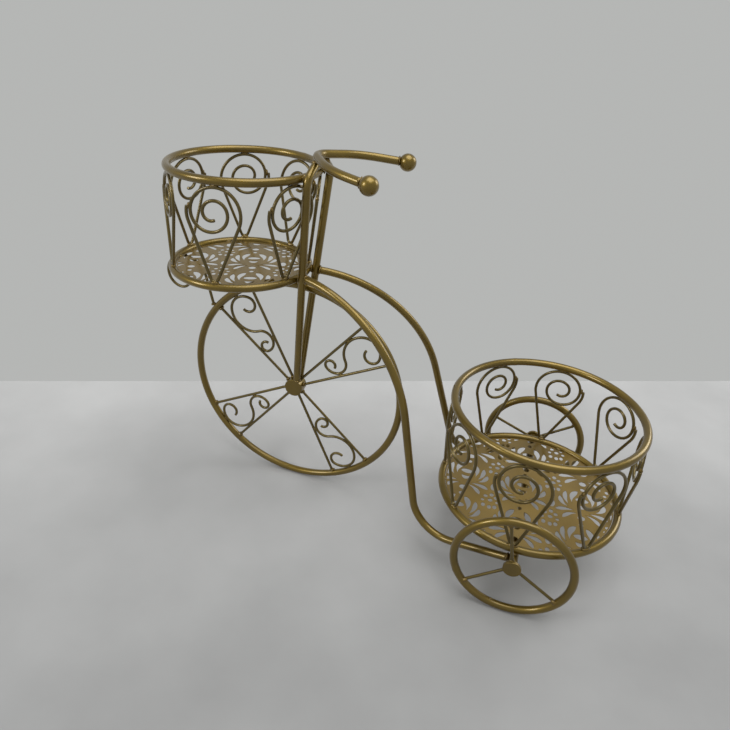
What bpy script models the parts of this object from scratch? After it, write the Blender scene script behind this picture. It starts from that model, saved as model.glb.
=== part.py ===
"""Bicycle planter: a welded stand of round tube and wire in the shape of a tricycle.

Two round baskets with openwork floors stand on a large front wheel and two small
rear wheels. Metres, +Z up, the bike's front at -X. The rear wheels turn.
"""
import math

import bpy

MM = 0.001

# Air left between two pieces that touch.
FIT_GAP = 0.3 * MM

# Stock: round tube for rings, fork, frame and handlebar, wire for spokes and scrolls.
TUBE_R = 4.0 * MM
WIRE_R = 1.6 * MM
SHEET_T = 1.2 * MM

# Front wheel. Its plane is y = 0 and its centre is the zero of x along the bike.
FRONT_RIM_R = 125.0 * MM
FRONT_HUB_R = 10.5 * MM
FRONT_HUB_W = 14.0 * MM
WEDGES_DEG = (38.3, 127.3, 218.8, 306.0)
WEDGE_AT_HUB = 3.5 * MM
WEDGE_AT_RIM = 25.0 * MM

# Rear wheels.
REAR_RIM_R = 56.0 * MM
REAR_HUB_R = 8.8 * MM
REAR_HUB_W = 7.0 * MM
WHEELBASE = 274.2 * MM
HALF_TRACK = 108.6 * MM
AXLE_R = 4.5 * MM
JOURNAL_R = 3.0 * MM
JOURNAL_DEPTH = 5.0 * MM
LEFT_SPOKES_DEG = (101.0, -32.0, -140.0)
RIGHT_SPOKES_DEG = (159.5, 36.0, -82.0)

# Fork: two rods that spread upwards from the hub, given at the foot and at the bend
# below the handlebar, where they turn inwards to carry it.
FORK_FOOT_X = 3.5 * MM
FORK_FOOT_Y = 4.4 * MM
FORK_HEAD_X = 22.7 * MM
FORK_HEAD_LEFT_Y = 26.4 * MM
FORK_HEAD_RIGHT_Y = 29.0 * MM
FORK_BEND_BELOW_BAR = 23.8 * MM
FORK_BEND_R = 10.0 * MM
FORK_BEND_DEG = 64.0
FORK_TIP_RISE = 16.5 * MM

# Baskets: ring radii at the tube's centre, and the height from ring to ring. The front
# one stands over the wheel and the rear one fits between the hubs.
FRONT_BOTTOM_R = 70.7 * MM
FRONT_TOP_R = 73.4 * MM
FLOOR_ABOVE_WHEEL = 9.6 * MM
FRONT_BASKET_H = 102.0 * MM
REAR_HUB_CLEARANCE = 7.6 * MM
REAR_BASKET_H = 105.0 * MM
REAR_BASKET_SET_BACK = 2.3 * MM

# Scrolls round each basket: an angle, and how far the curl leans from its foot.
FRONT_SCROLLS = (
    (21.5, 4.0 * MM),
    (69.3, 4.0 * MM),
    (116.4, -1.0 * MM),
    (170.8, 1.0 * MM),
    (224.0, 4.0 * MM),
    (277.9, 2.5 * MM),
    (335.4, 2.0 * MM),
)
REAR_SCROLLS = (
    (-3.3, 4.8 * MM),
    (41.4, 7.4 * MM),
    (86.0, 6.8 * MM),
    (129.8, 5.6 * MM),
    (176.8, 6.0 * MM),
    (221.8, 6.0 * MM),
    (266.2, 4.8 * MM),
    (311.0, 4.6 * MM),
)

# Basket scroll: one wire, a spiral on a leg, a round foot and a short second leg.
SCROLL_OUTER_R = 27.8 * MM
SCROLL_EYE_R = 6.5 * MM
SCROLL_SWEEP_DEG = 670.0
SCROLL_POWER = 1.15
SCROLL_FOOT_R = 4.0 * MM
SCROLL_END_DEG = 12.0

# Wheel scroll: tangent arcs from the end of the large curl to the end of the small
# one, each a radius as a share of the rim's radius and a sweep in degrees.
WHEEL_SCROLL_SHARES = (
    (0.069, 203.0),
    (0.143, 110.0),
    (0.189, 111.0),
    (0.102, -170.0),
    (0.047, -240.0),
)
WHEEL_SCROLL_HEADING = 192.5
WHEEL_SCROLL_START_SHARE = -0.001

# Brace scroll between the front rim and the front basket's bottom ring.
BRACE_OUTER_R = 30.3 * MM
BRACE_PITCH = 23.5 * MM
BRACE_TURNS = 1.15
BRACE_CENTRE_AHEAD = 4.2 * MM
BRACE_FOOT_DEG = 141.0
BRACE_END_SHARE = 0.6

# Frame tubes seen from the side: an arch over the wheel, a steep leg, a bend and a
# straight run to the rear axle. Each arch keeps a gap to the rear basket, has its centre
# behind the front axle and above or below it, ends at an angle, and its run rises.
FRAME_ARCHES = (
    ("left", -1.0, 32.0 * MM, 10.2 * MM, 4.1 * MM, 11.8, 18.5),
    ("right", 1.0, 23.8 * MM, 0.3 * MM, -15.5 * MM, 16.8, 16.0),
)
RUN_DROP = 2.0 * MM
LOWER_BEND_R = 36.0 * MM
FRAME_INSET = 12.6 * MM

# Handlebar: closed end, a tight bend, splayed arms that curve back, and ball grips.
BAR_FRONT_X = 22.7 * MM
BAR_RISE = 18.0 * MM
BAR_BEND_R = 17.0 * MM
BAR_BEND_DEG = 37.0
BAR_ARM = 18.0 * MM
BAR_SWEEP_R = 65.0 * MM
BAR_SWEEP_DEG = 34.5
BAR_TIPS = (("left", -1.0, 15.3 * MM), ("right", 1.0, 18.5 * MM))
BAR_SLOPE_DEG = 6.3
BALL_R = 8.6 * MM

# Openwork floors: fans of leaves, each with a round hole at its foot, in columns where
# every second one stands half a step higher.
FAN_ACROSS = 23.0 * MM
FAN_ALONG = 68.0 * MM
LEAVES_DEG = (-108.0, -58.0, 0.0, 58.0, 108.0)
LEAF_IN = 7.0 * MM
LEAF_OUT = 19.5 * MM
LEAF_HALF_W = 1.9 * MM
LEAF_WIDEST_SHARE = 0.55
DOT_R = 2.6 * MM
DOT_DROP = 9.5 * MM
FLOOR_RIM = 4.0 * MM

# Facets.
RIM_STEPS = 44
RING_STEPS = 32
TUBE_SIDES = 8
HUB_SIDES = 16
CURL_STEP_DEG = 30.0
WHEEL_CURL_STEP_DEG = 38.0
SPIRAL_STEPS = 18
SPIRAL_FINE_SHARE = 0.65
BEND_STEP_DEG = 12.0
FLOOR_STEPS = 48
DOT_SIDES = 6
BALL_STEPS = 12
MERGE_WITHIN = 0.01 * MM

# Heights and places that follow from the sizes above.
FRONT_AXLE_Z = FRONT_RIM_R + TUBE_R
FRONT_FLOOR_Z = 2.0 * FRONT_AXLE_Z + FLOOR_ABOVE_WHEEL
BAR_Z = FRONT_FLOOR_Z + FRONT_BASKET_H + BAR_RISE
FORK_FOOT_Z = FRONT_AXLE_Z + FRONT_HUB_R + FIT_GAP
FORK_REACH = BAR_Z - FORK_BEND_BELOW_BAR - FORK_FOOT_Z
REAR_AXLE_Z = REAR_RIM_R + TUBE_R
REAR_FLOOR_Z = REAR_AXLE_Z + AXLE_R + FIT_GAP + TUBE_R
REAR_RING_R = HALF_TRACK - REAR_HUB_W / 2.0 - REAR_HUB_CLEARANCE - TUBE_R
REAR_BASKET_X = WHEELBASE + REAR_BASKET_SET_BACK
REAR_BASKET_FRONT = REAR_BASKET_X - REAR_RING_R - TUBE_R

PAINT = {
    "tube_gold": ((0.36, 0.26, 0.085, 1.0), 0.34, 0.85),
    "wire_gold": ((0.20, 0.15, 0.06, 1.0), 0.42, 0.8),
    "sheet_gold": ((0.33, 0.25, 0.10, 1.0), 0.45, 0.75),
}


def clear_scene():
    """Remove the objects that are in the file."""
    for obj in list(bpy.data.objects):
        bpy.data.objects.remove(obj, do_unlink=True)


def paint(name):
    """One satin metallic paint, made once and shared."""
    found = bpy.data.materials.get(name)
    if found:
        return found
    colour, rough, metal = PAINT[name]
    made = bpy.data.materials.new(name)
    made.use_nodes = True
    shader = made.node_tree.nodes["Principled BSDF"]
    shader.inputs["Base Color"].default_value = colour
    shader.inputs["Roughness"].default_value = rough
    shader.inputs["Metallic"].default_value = metal
    made.diffuse_color = colour
    return made


def empty(name, parent, place=(0.0, 0.0, 0.0)):
    """A marker that carries the pieces of one assembly."""
    mark = bpy.data.objects.new(name, None)
    mark.empty_display_size = TUBE_R
    PARTS.objects.link(mark)
    mark.parent = parent
    mark.location = place
    return mark


def finish(obj, name, finish_name, parent, place=(0.0, 0.0, 0.0), turn=(0.0, 0.0, 0.0)):
    """Name a new piece, paint it, place it and put it in the planter's collection."""
    obj.name = name
    obj.data.name = name
    for home in list(obj.users_collection):
        home.objects.unlink(obj)
    PARTS.objects.link(obj)
    obj.data.materials.clear()
    obj.data.materials.append(paint(finish_name))
    if obj.type == "MESH":
        obj.data.shade_smooth()
        obj.data.set_sharp_from_angle(angle=math.radians(50.0))
    obj.parent = parent
    obj.location = place
    obj.rotation_euler = turn
    return obj


def ring(name, radius, steps, finish_name, parent, place, upright=False):
    """A closed ring of tube, level or standing in the plane of a wheel."""
    bpy.ops.mesh.primitive_torus_add(
        major_segments=steps, minor_segments=TUBE_SIDES, major_radius=radius, minor_radius=TUBE_R
    )
    turn = (math.radians(90.0), 0.0, 0.0) if upright else (0.0, 0.0, 0.0)
    return finish(bpy.context.object, name, finish_name, parent, place, turn)


def wire(name, points, radius, finish_name, parent, sides=6, place=(0.0, 0.0, 0.0), spin=0.0):
    """A round wire or tube along points, with closed ends."""
    data = bpy.data.curves.new(name, "CURVE")
    data.dimensions = "3D"
    data.bevel_depth = radius
    data.bevel_resolution = (sides - 4) // 2
    data.use_fill_caps = True
    spline = data.splines.new("POLY")
    spline.points.add(len(points) - 1)
    for point, spot in zip(spline.points, points):
        point.co = (*spot, 1.0)
    obj = bpy.data.objects.new(name, data)
    bpy.context.scene.collection.objects.link(obj)
    return finish(obj, name, finish_name, parent, place, (0.0, 0.0, spin))


def turned(name, profile, finish_name, parent, place):
    """A turned piece about Y: the profile's (radius, station) runs down its outer side."""
    mesh = bpy.data.meshes.new(name)
    points = [(radius, 0.0, station) for radius, station in profile]
    edges = [(k, k + 1) for k in range(len(points) - 1)]
    mesh.from_pydata(points, edges, [])
    obj = bpy.data.objects.new(name, mesh)
    bpy.context.scene.collection.objects.link(obj)
    finish(obj, name, finish_name, parent, place, (math.radians(-90.0), 0.0, 0.0))
    screw = obj.modifiers.new("turn", "SCREW")
    screw.steps = HUB_SIDES
    screw.render_steps = HUB_SIDES
    screw.use_merge_vertices = True
    screw.merge_threshold = MERGE_WITHIN
    screw.use_smooth_shade = True
    return obj


def arc(centre, radius, start_deg, sweep_deg, step_deg):
    """Points on a circle in a plane, both ends included."""
    count = max(1, math.ceil(abs(sweep_deg) / step_deg))
    angles = [math.radians(start_deg + sweep_deg * k / count) for k in range(count + 1)]
    return [(centre[0] + radius * math.cos(a), centre[1] + radius * math.sin(a)) for a in angles]


def spiral(centre, outer, pitch, start_deg, turns, way):
    """An even spiral inwards: its radius falls by one pitch a turn."""
    count = math.ceil(turns * 360.0 / CURL_STEP_DEG)
    points = []
    for k in range(count + 1):
        turn = turns * k / count
        radius = outer - pitch * turn
        angle = math.radians(start_deg + way * 360.0 * turn)
        points.append((centre[0] + radius * math.cos(angle), centre[1] + radius * math.sin(angle)))
    return points


def tangent_arcs(arcs, heading_deg, step_deg):
    """Walk from zero along arcs that meet smoothly; a positive sweep turns left."""
    x, y = 0.0, 0.0
    heading = heading_deg
    points = [(x, y)]
    for radius, sweep in arcs:
        side = math.copysign(1.0, sweep)
        lean = math.radians(heading)
        centre = (x - side * radius * math.sin(lean), y + side * radius * math.cos(lean))
        points += arc(centre, radius, heading - side * 90.0, sweep, step_deg)[1:]
        x, y = points[-1]
        heading += sweep
    return points


def outer_tangent(low, low_r, high, high_r, side):
    """Angle of the outward normal of the line that touches two circles on one side."""
    run = (high[0] - low[0], high[1] - low[1])
    span = math.hypot(*run)
    return math.degrees(math.atan2(run[1], run[0]) + side * math.acos((low_r - high_r) / span))


def curl_radius(turned_deg):
    """Radius of the basket scroll's spiral after a turn: it falls fast and then slowly."""
    left = max(0.0, 1.0 - turned_deg / SCROLL_SWEEP_DEG)
    return SCROLL_EYE_R + (SCROLL_OUTER_R - SCROLL_EYE_R) * left**SCROLL_POWER


def curl(centre, start_deg):
    """Points of the spiral from its leg to its eye, closer together where it is wide."""
    points = []
    for k in range(SPIRAL_STEPS + 1):
        share = k / SPIRAL_STEPS
        share = SPIRAL_FINE_SHARE * share + (1.0 - SPIRAL_FINE_SHARE) * share * share
        radius = curl_radius(SCROLL_SWEEP_DEG * share)
        angle = math.radians(start_deg - SCROLL_SWEEP_DEG * share)
        points.append((centre[0] + radius * math.cos(angle), centre[1] + radius * math.sin(angle)))
    return points


def scroll_outline(height, lean):
    """Basket scroll in its plane: (across, up) from the bottom of the foot."""
    foot = (0.0, SCROLL_FOOT_R)
    crest = curl_radius(outer_tangent(foot, SCROLL_FOOT_R, (lean, height), SCROLL_OUTER_R, 1.0) - 90.0)
    centre = (lean, height - crest)
    left = outer_tangent(foot, SCROLL_FOOT_R, centre, SCROLL_OUTER_R, 1.0)
    beside = curl_radius(left - SCROLL_END_DEG) + 2.0 * WIRE_R + FIT_GAP
    right = outer_tangent(foot, SCROLL_FOOT_R, centre, beside, -1.0)
    below = arc(foot, SCROLL_FOOT_R, left, right + 360.0 - left, 2.0 * CURL_STEP_DEG)
    end = arc(centre, beside, right, SCROLL_END_DEG - right, CURL_STEP_DEG)
    return curl(centre, left)[::-1] + below + end


def leaf(centre, angle):
    """One leaf-shaped hole of a fan, four points."""
    widest = LEAF_IN + (LEAF_OUT - LEAF_IN) * LEAF_WIDEST_SHARE
    outline = [(LEAF_IN, 0.0), (widest, -LEAF_HALF_W), (LEAF_OUT, 0.0), (widest, LEAF_HALF_W)]
    c, s = math.cos(angle), math.sin(angle)
    return [(centre[0] + c * x - s * y, centre[1] + s * x + c * y) for x, y in outline]


def filigree(radius):
    """Outlines of the holes in a floor: fans of leaves and a round hole at each foot."""
    reach = radius - FLOOR_RIM
    columns = range(-int(radius // FAN_ACROSS), int(radius // FAN_ACROSS) + 1)
    rows = range(-int(radius // FAN_ALONG) - 1, int(radius // FAN_ALONG) + 2)
    holes = []
    for column in columns:
        for row in rows:
            fan = (column * FAN_ACROSS, (row + 0.5 * (column % 2)) * FAN_ALONG)
            for turn in LEAVES_DEG:
                holes.append(leaf(fan, math.radians(90.0 + turn)))
            dot = arc((fan[0], fan[1] - DOT_DROP), DOT_R, 0.0, 360.0, 360.0 / DOT_SIDES)
            holes.append(dot[:-1])
    return [hole for hole in holes if max(math.hypot(*spot) for spot in hole) < reach]


def floor_plate(name, radius, parent, place):
    """A flat disc of sheet with the filigree cut through it."""
    data = bpy.data.curves.new(name, "CURVE")
    data.dimensions = "2D"
    data.fill_mode = "BOTH"
    data.extrude = SHEET_T / 2.0
    rim = arc((0.0, 0.0), radius, 0.0, 360.0, 360.0 / FLOOR_STEPS)[:-1]
    for outline in [rim] + filigree(radius):
        spline = data.splines.new("POLY")
        spline.points.add(len(outline) - 1)
        for point, spot in zip(spline.points, outline):
            point.co = (*spot, 0.0, 1.0)
        spline.use_cyclic_u = True
    obj = bpy.data.objects.new(name, data)
    bpy.context.scene.collection.objects.link(obj)
    return finish(obj, name, "sheet_gold", parent, place)


def fork_path(side):
    """Course of one rod in the fork's leaning plane, from the hub to its bent tip."""
    head_y = FORK_HEAD_LEFT_Y if side < 0.0 else FORK_HEAD_RIGHT_Y
    lean = math.atan2(FORK_HEAD_X - FORK_FOOT_X, FORK_REACH)
    reach = FORK_REACH / math.cos(lean)
    heading = math.degrees(math.atan2(reach, head_y - FORK_FOOT_Y))
    bend = tangent_arcs([(FORK_BEND_R, FORK_BEND_DEG)], heading, BEND_STEP_DEG)
    flat = [(FORK_FOOT_Y, 0.0)] + [(head_y + u, reach + v) for u, v in bend]
    tip = math.radians(heading + FORK_BEND_DEG)
    length = (reach + FORK_TIP_RISE - flat[-1][1]) / math.sin(tip)
    flat.append((flat[-1][0] + length * math.cos(tip), reach + FORK_TIP_RISE))
    return [
        (FORK_FOOT_X + up * math.sin(lean), side * out, FORK_FOOT_Z + up * math.cos(lean))
        for out, up in flat
    ]


def fork_at(height, side):
    """Where one rod of the fork is at a height: x along the bike, and y outwards."""
    path = fork_path(side)
    for low, high in zip(path, path[1:]):
        if height <= high[2]:
            break
    share = (height - low[2]) / (high[2] - low[2])
    return low[0] + share * (high[0] - low[0]), side * (low[1] + share * (high[1] - low[1]))


def ring_centre_x(radius, height):
    """Centre of a front basket ring that rests against the left fork rod."""
    x, y = fork_at(height, -1.0)
    reach = radius + 2.0 * TUBE_R + FIT_GAP
    return x - math.sqrt(reach * reach - y * y)


def front_wheel(parent):
    """Rim, hub, four pairs of straight wires and a scroll in each pair."""
    wheel = empty("front_wheel", parent, (0.0, 0.0, FRONT_AXLE_Z))
    ring("front_rim", FRONT_RIM_R, RIM_STEPS, "tube_gold", wheel, (0.0, 0.0, 0.0), upright=True)
    half = FRONT_HUB_W / 2.0
    profile = [(0.0, half), (FRONT_HUB_R, half), (FRONT_HUB_R, -half), (0.0, -half)]
    turned("front_hub", profile, "tube_gold", wheel, (0.0, 0.0, 0.0))
    inside = (FRONT_RIM_R - TUBE_R) * math.cos(math.pi / RIM_STEPS)
    reach = inside - FIT_GAP
    start = math.sqrt(FRONT_HUB_R**2 - (WEDGE_AT_HUB - WIRE_R) ** 2) + FIT_GAP
    end = math.sqrt(reach**2 - (WEDGE_AT_RIM + WIRE_R) ** 2)
    steps = [(radius * FRONT_RIM_R, sweep) for radius, sweep in WHEEL_SCROLL_SHARES]
    outline = tangent_arcs(steps, WHEEL_SCROLL_HEADING, WHEEL_CURL_STEP_DEG)
    seat = inside - WIRE_R - FIT_GAP - max(u for u, _ in outline)
    drift = WHEEL_SCROLL_START_SHARE * FRONT_RIM_R
    for k, angle in enumerate(WEDGES_DEG):
        turn = math.radians(angle)
        c, s = math.cos(turn), math.sin(turn)
        for side, word in ((1.0, "a"), (-1.0, "b")):
            ends = [(start, side * WEDGE_AT_HUB), (end, side * WEDGE_AT_RIM)]
            line = [(u * c - v * s, 0.0, u * s + v * c) for u, v in ends]
            wire(f"front_spoke_{k + 1}{word}", line, WIRE_R, "wire_gold", wheel)
        path = [(u + seat, v + drift) for u, v in outline]
        course = [(u * c - v * s, 0.0, u * s + v * c) for u, v in path]
        wire(f"front_wheel_scroll_{k + 1}", course, WIRE_R, "wire_gold", wheel)


def rear_wheel(parent, side, word, spokes_deg):
    """Rim, hub with a blind bore for the axle's journal, and three straight wires."""
    wheel = empty(f"rear_wheel_{word}", parent, (WHEELBASE, side * HALF_TRACK, REAR_AXLE_Z))
    ring(f"rear_rim_{word}", REAR_RIM_R, RING_STEPS, "tube_gold", wheel, (0.0, 0.0, 0.0), upright=True)
    half = REAR_HUB_W / 2.0
    bore = JOURNAL_R + FIT_GAP
    end = side * (JOURNAL_DEPTH - half + FIT_GAP)
    inner = -side * half
    outer = side * half
    profile = [(0.0, outer), (REAR_HUB_R, outer), (REAR_HUB_R, inner), (bore, inner), (bore, end), (0.0, end)]
    if side < 0.0:
        profile.reverse()
    turned(f"rear_hub_{word}", profile, "tube_gold", wheel, (0.0, 0.0, 0.0))
    start = REAR_HUB_R + FIT_GAP
    reach = (REAR_RIM_R - TUBE_R) * math.cos(math.pi / RING_STEPS) - FIT_GAP
    for k, angle in enumerate(spokes_deg):
        turn = math.radians(angle)
        line = [(r * math.cos(turn), 0.0, r * math.sin(turn)) for r in (start, reach)]
        wire(f"rear_spoke_{word}_{k + 1}", line, WIRE_R, "wire_gold", wheel)


def rear_axle(parent):
    """One tube across the bike under the basket, with a thinner journal at each end."""
    shoulder = HALF_TRACK - REAR_HUB_W / 2.0 - FIT_GAP
    tip = shoulder + JOURNAL_DEPTH
    half = [(0.0, tip), (JOURNAL_R, tip), (JOURNAL_R, shoulder), (AXLE_R, shoulder)]
    profile = half + [(radius, -station) for radius, station in half[::-1]]
    turned("rear_axle", profile, "tube_gold", parent, (WHEELBASE, 0.0, REAR_AXLE_Z))


def scroll_set(label, scrolls, top_r, bottom_r, top, bottom, parent):
    """Scroll wires round a basket, each flat and leaning from ring to ring."""
    low = bottom[1] + TUBE_R + WIRE_R
    high = top[1] - TUBE_R - WIRE_R
    for k, (angle, lean) in enumerate(scrolls):
        outline = scroll_outline(high - low, lean)
        crest = max(up for _, up in outline)
        c, s = math.cos(math.radians(angle)), math.sin(math.radians(angle))
        points = []
        for across, up in outline:
            share = up / crest
            radius = bottom_r + share * (top_r - bottom_r)
            middle = bottom[0] + share * (top[0] - bottom[0])
            points.append((middle + radius * c + across * s, radius * s - across * c, low + share * (high - low)))
        wire(f"{label}_{k + 1}", points, WIRE_R, "wire_gold", parent)


def front_basket(parent):
    """Two rings against the fork, the floor in the lower one and scrolls between."""
    basket = empty("front_basket", parent)
    top_z = FRONT_FLOOR_Z + FRONT_BASKET_H
    low_x = ring_centre_x(FRONT_BOTTOM_R, FRONT_FLOOR_Z)
    top_x = ring_centre_x(FRONT_TOP_R, top_z)
    ring("front_basket_bottom_ring", FRONT_BOTTOM_R, RING_STEPS, "tube_gold", basket, (low_x, 0.0, FRONT_FLOOR_Z))
    ring("front_basket_top_ring", FRONT_TOP_R, RING_STEPS, "tube_gold", basket, (top_x, 0.0, top_z))
    inside = (FRONT_BOTTOM_R - TUBE_R) * math.cos(math.pi / RING_STEPS) - FIT_GAP
    floor_plate("front_basket_floor", inside, basket, (low_x, 0.0, FRONT_FLOOR_Z))
    top, low = (top_x, top_z), (low_x, FRONT_FLOOR_Z)
    scroll_set("front_basket_scroll", FRONT_SCROLLS, FRONT_TOP_R, FRONT_BOTTOM_R, top, low, basket)


def rear_basket(parent):
    """Two equal rings over the axle, the floor in the lower one and scrolls between."""
    basket = empty("rear_basket", parent)
    top_z = REAR_FLOOR_Z + REAR_BASKET_H
    place = (REAR_BASKET_X, 0.0)
    ring("rear_basket_bottom_ring", REAR_RING_R, RING_STEPS, "tube_gold", basket, (*place, REAR_FLOOR_Z))
    ring("rear_basket_top_ring", REAR_RING_R, RING_STEPS, "tube_gold", basket, (*place, top_z))
    inside = (REAR_RING_R - TUBE_R) * math.cos(math.pi / RING_STEPS) - FIT_GAP
    floor_plate("rear_basket_floor", inside, basket, (*place, REAR_FLOOR_Z))
    top, low = (REAR_BASKET_X, top_z), (REAR_BASKET_X, REAR_FLOOR_Z)
    scroll_set("rear_basket_scroll", REAR_SCROLLS, REAR_RING_R, REAR_RING_R, top, low, basket)


def brace(parent):
    """Scroll between the front rim's top and the underside of the basket's ring."""
    top = FRONT_FLOOR_Z - TUBE_R - WIRE_R + FIT_GAP
    ahead = ring_centre_x(FRONT_BOTTOM_R, FRONT_FLOOR_Z) - FRONT_BOTTOM_R - BRACE_CENTRE_AHEAD
    centre = (ahead, top - BRACE_OUTER_R + BRACE_PITCH * 0.25)
    turns = spiral(centre, BRACE_OUTER_R, BRACE_PITCH, 0.0, BRACE_TURNS, 1.0)
    rise = top - max(z for _, z in turns)
    turns = [(x, z + rise) for x, z in turns]
    reach = FRONT_RIM_R + TUBE_R + FIT_GAP + BRACE_END_SHARE * WIRE_R
    angle = math.radians(BRACE_FOOT_DEG)
    foot = (reach * math.cos(angle), FRONT_AXLE_Z + reach * math.sin(angle))
    path = [foot] + turns
    wire("scroll_brace", [(x, 0.0, z) for x, z in path], WIRE_R, "wire_gold", parent)


def fork(parent):
    """Two rods from the hub past both rings, bent inwards under the handlebar."""
    for side, word in ((-1.0, "left"), (1.0, "right")):
        wire(f"fork_rod_{word}", fork_path(side), TUBE_R, "tube_gold", parent, sides=TUBE_SIDES)


def handlebar(parent):
    """A bent tube in one sloping plane, and a ball on each end."""
    half = tangent_arcs([(BAR_BEND_R, -BAR_BEND_DEG)], 90.0, BEND_STEP_DEG)
    lean = math.radians(90.0 - BAR_BEND_DEG)
    x, y = half[-1]
    start = (x + BAR_ARM * math.cos(lean), y + BAR_ARM * math.sin(lean))
    bend = tangent_arcs([(BAR_SWEEP_R, -BAR_SWEEP_DEG)], 90.0 - BAR_BEND_DEG, BEND_STEP_DEG / 2.0)
    half += [(start[0] + u, start[1] + v) for u, v in bend]
    lean = math.radians(90.0 - BAR_BEND_DEG - BAR_SWEEP_DEG)
    slope = math.radians(BAR_SLOPE_DEG)
    x, y = half[-1]
    outline = []
    for word, side, tip in BAR_TIPS:
        arm = [(u, side * v) for u, v in half + [(x + tip * math.cos(lean), y + tip * math.sin(lean))]]
        outline = outline + arm[1:] if outline else arm[::-1]
        reach = tip + BALL_R + FIT_GAP
        u, v = x + reach * math.cos(lean), y + reach * math.sin(lean)
        bpy.ops.mesh.primitive_uv_sphere_add(segments=BALL_STEPS, ring_count=BALL_STEPS * 2 // 3, radius=BALL_R)
        place = (BAR_FRONT_X + u * math.cos(slope), side * v, BAR_Z - u * math.sin(slope))
        finish(bpy.context.object, f"grip_ball_{word}", "tube_gold", parent, place)
    path = [(BAR_FRONT_X + u * math.cos(slope), v, BAR_Z - u * math.sin(slope)) for u, v in outline]
    wire("handlebar", path, TUBE_R, "tube_gold", parent, sides=TUBE_SIDES)


def frame_tubes(parent):
    """Two bent tubes that splay from the fork to the axle."""
    for word, side, gap, behind, above, end_deg, rise_deg in FRAME_ARCHES:
        arch_r = REAR_BASKET_FRONT - gap - behind
        path = frame_path(side, arch_r, (behind, FRONT_AXLE_Z + above), end_deg, rise_deg)
        wire(f"frame_tube_{word}", path, TUBE_R, "tube_gold", parent, sides=TUBE_SIDES)


def frame_path(side, arch_r, centre, end_deg, rise_deg):
    """Course of one frame tube."""
    rod_x, rod_y = fork_at(centre[1] + arch_r, side)
    first = rod_x + TUBE_R + 2.0 * FIT_GAP
    start_deg = math.degrees(math.acos((first - centre[0]) / arch_r))
    arch = arc(centre, arch_r, start_deg, end_deg - start_deg, BEND_STEP_DEG * 0.75)
    last_x = WHEELBASE - AXLE_R - 5.0 * FIT_GAP
    last = (last_x, REAR_AXLE_Z - RUN_DROP)
    down = math.radians(end_deg - 90.0)
    rise = math.radians(rise_deg)
    x, z = arch[-1]
    # The steep leg and the straight run, carried on, meet at a corner.
    along = ((last[1] - z) * math.cos(rise) - (last[0] - x) * math.sin(rise)) / math.sin(down - rise)
    corner = (x + along * math.cos(down), z + along * math.sin(down))
    back = LOWER_BEND_R * math.tan((rise - down) / 2.0)
    bend_at = (corner[0] - back * math.cos(down), corner[1] - back * math.sin(down))
    turn = math.degrees(rise - down)
    bend = tangent_arcs([(LOWER_BEND_R, turn)], math.degrees(down), BEND_STEP_DEG)
    side_view = arch + [(bend_at[0] + u, bend_at[1] + v) for u, v in bend] + [last]
    splay = (HALF_TRACK - FRAME_INSET - rod_y) / (last_x - first)
    return [(u, side * (rod_y + (u - first) * splay), v) for u, v in side_view]


def middle_x():
    """Middle of the planter's length, where its origin is."""
    ahead = ring_centre_x(FRONT_BOTTOM_R, FRONT_FLOOR_Z) - FRONT_BOTTOM_R - BRACE_CENTRE_AHEAD
    front = ahead - (BRACE_OUTER_R - BRACE_PITCH * 0.5) - WIRE_R
    rear = REAR_BASKET_X + REAR_RING_R + TUBE_R
    return (front + rear) / 2.0


clear_scene()
PARTS = bpy.data.collections.new("bicycle_planter")
bpy.context.scene.collection.children.link(PARTS)
stand = empty("planter", None, (-middle_x(), 0.0, 0.0))
front_wheel(stand)
fork(stand)
front_basket(stand)
brace(stand)
handlebar(stand)
frame_tubes(stand)
rear_basket(stand)
rear_axle(stand)
rear_wheel(stand, -1.0, "left", LEFT_SPOKES_DEG)
rear_wheel(stand, 1.0, "right", RIGHT_SPOKES_DEG)
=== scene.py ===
# %% [markdown]
# # Bicycle planter
# A plant stand bent and welded from steel tube and wire, painted gold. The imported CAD
# model settles its form. This script lays a finer skin over each of its pieces: round
# tube, hand-bent wire, cut sheet, weld beads and satin paint.

# %% Load the frame
import math

import bmesh
import bpy
import numpy as np
from mathutils import Matrix, Vector


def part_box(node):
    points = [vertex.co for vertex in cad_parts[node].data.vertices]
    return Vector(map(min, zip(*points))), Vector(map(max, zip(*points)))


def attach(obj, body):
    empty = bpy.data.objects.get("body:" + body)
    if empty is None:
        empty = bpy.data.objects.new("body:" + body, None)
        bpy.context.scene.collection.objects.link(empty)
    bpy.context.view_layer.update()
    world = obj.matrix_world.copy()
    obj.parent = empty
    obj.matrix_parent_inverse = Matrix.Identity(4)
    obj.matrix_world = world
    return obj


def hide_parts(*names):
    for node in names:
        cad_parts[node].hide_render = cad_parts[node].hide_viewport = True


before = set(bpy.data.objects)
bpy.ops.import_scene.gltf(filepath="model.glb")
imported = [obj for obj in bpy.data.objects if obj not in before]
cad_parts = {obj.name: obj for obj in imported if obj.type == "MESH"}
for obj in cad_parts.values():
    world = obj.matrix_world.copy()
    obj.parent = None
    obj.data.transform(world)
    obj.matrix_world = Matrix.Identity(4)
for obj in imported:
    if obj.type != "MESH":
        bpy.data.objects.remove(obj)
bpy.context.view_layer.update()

MM = 0.001
print("pieces in the CAD model:", len(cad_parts))

# %% [markdown]
# ## Stock and sizes
# The real stand is made from three kinds of stock: 8 mm tube for what carries weight,
# 3.2 mm wire for the ornament, and thin sheet for the two floors. A maker writes the
# sizes down once and bends everything from them, so they are named here once too.
# Lengths are in metres. X runs back, Y to the right and Z up.

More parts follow.
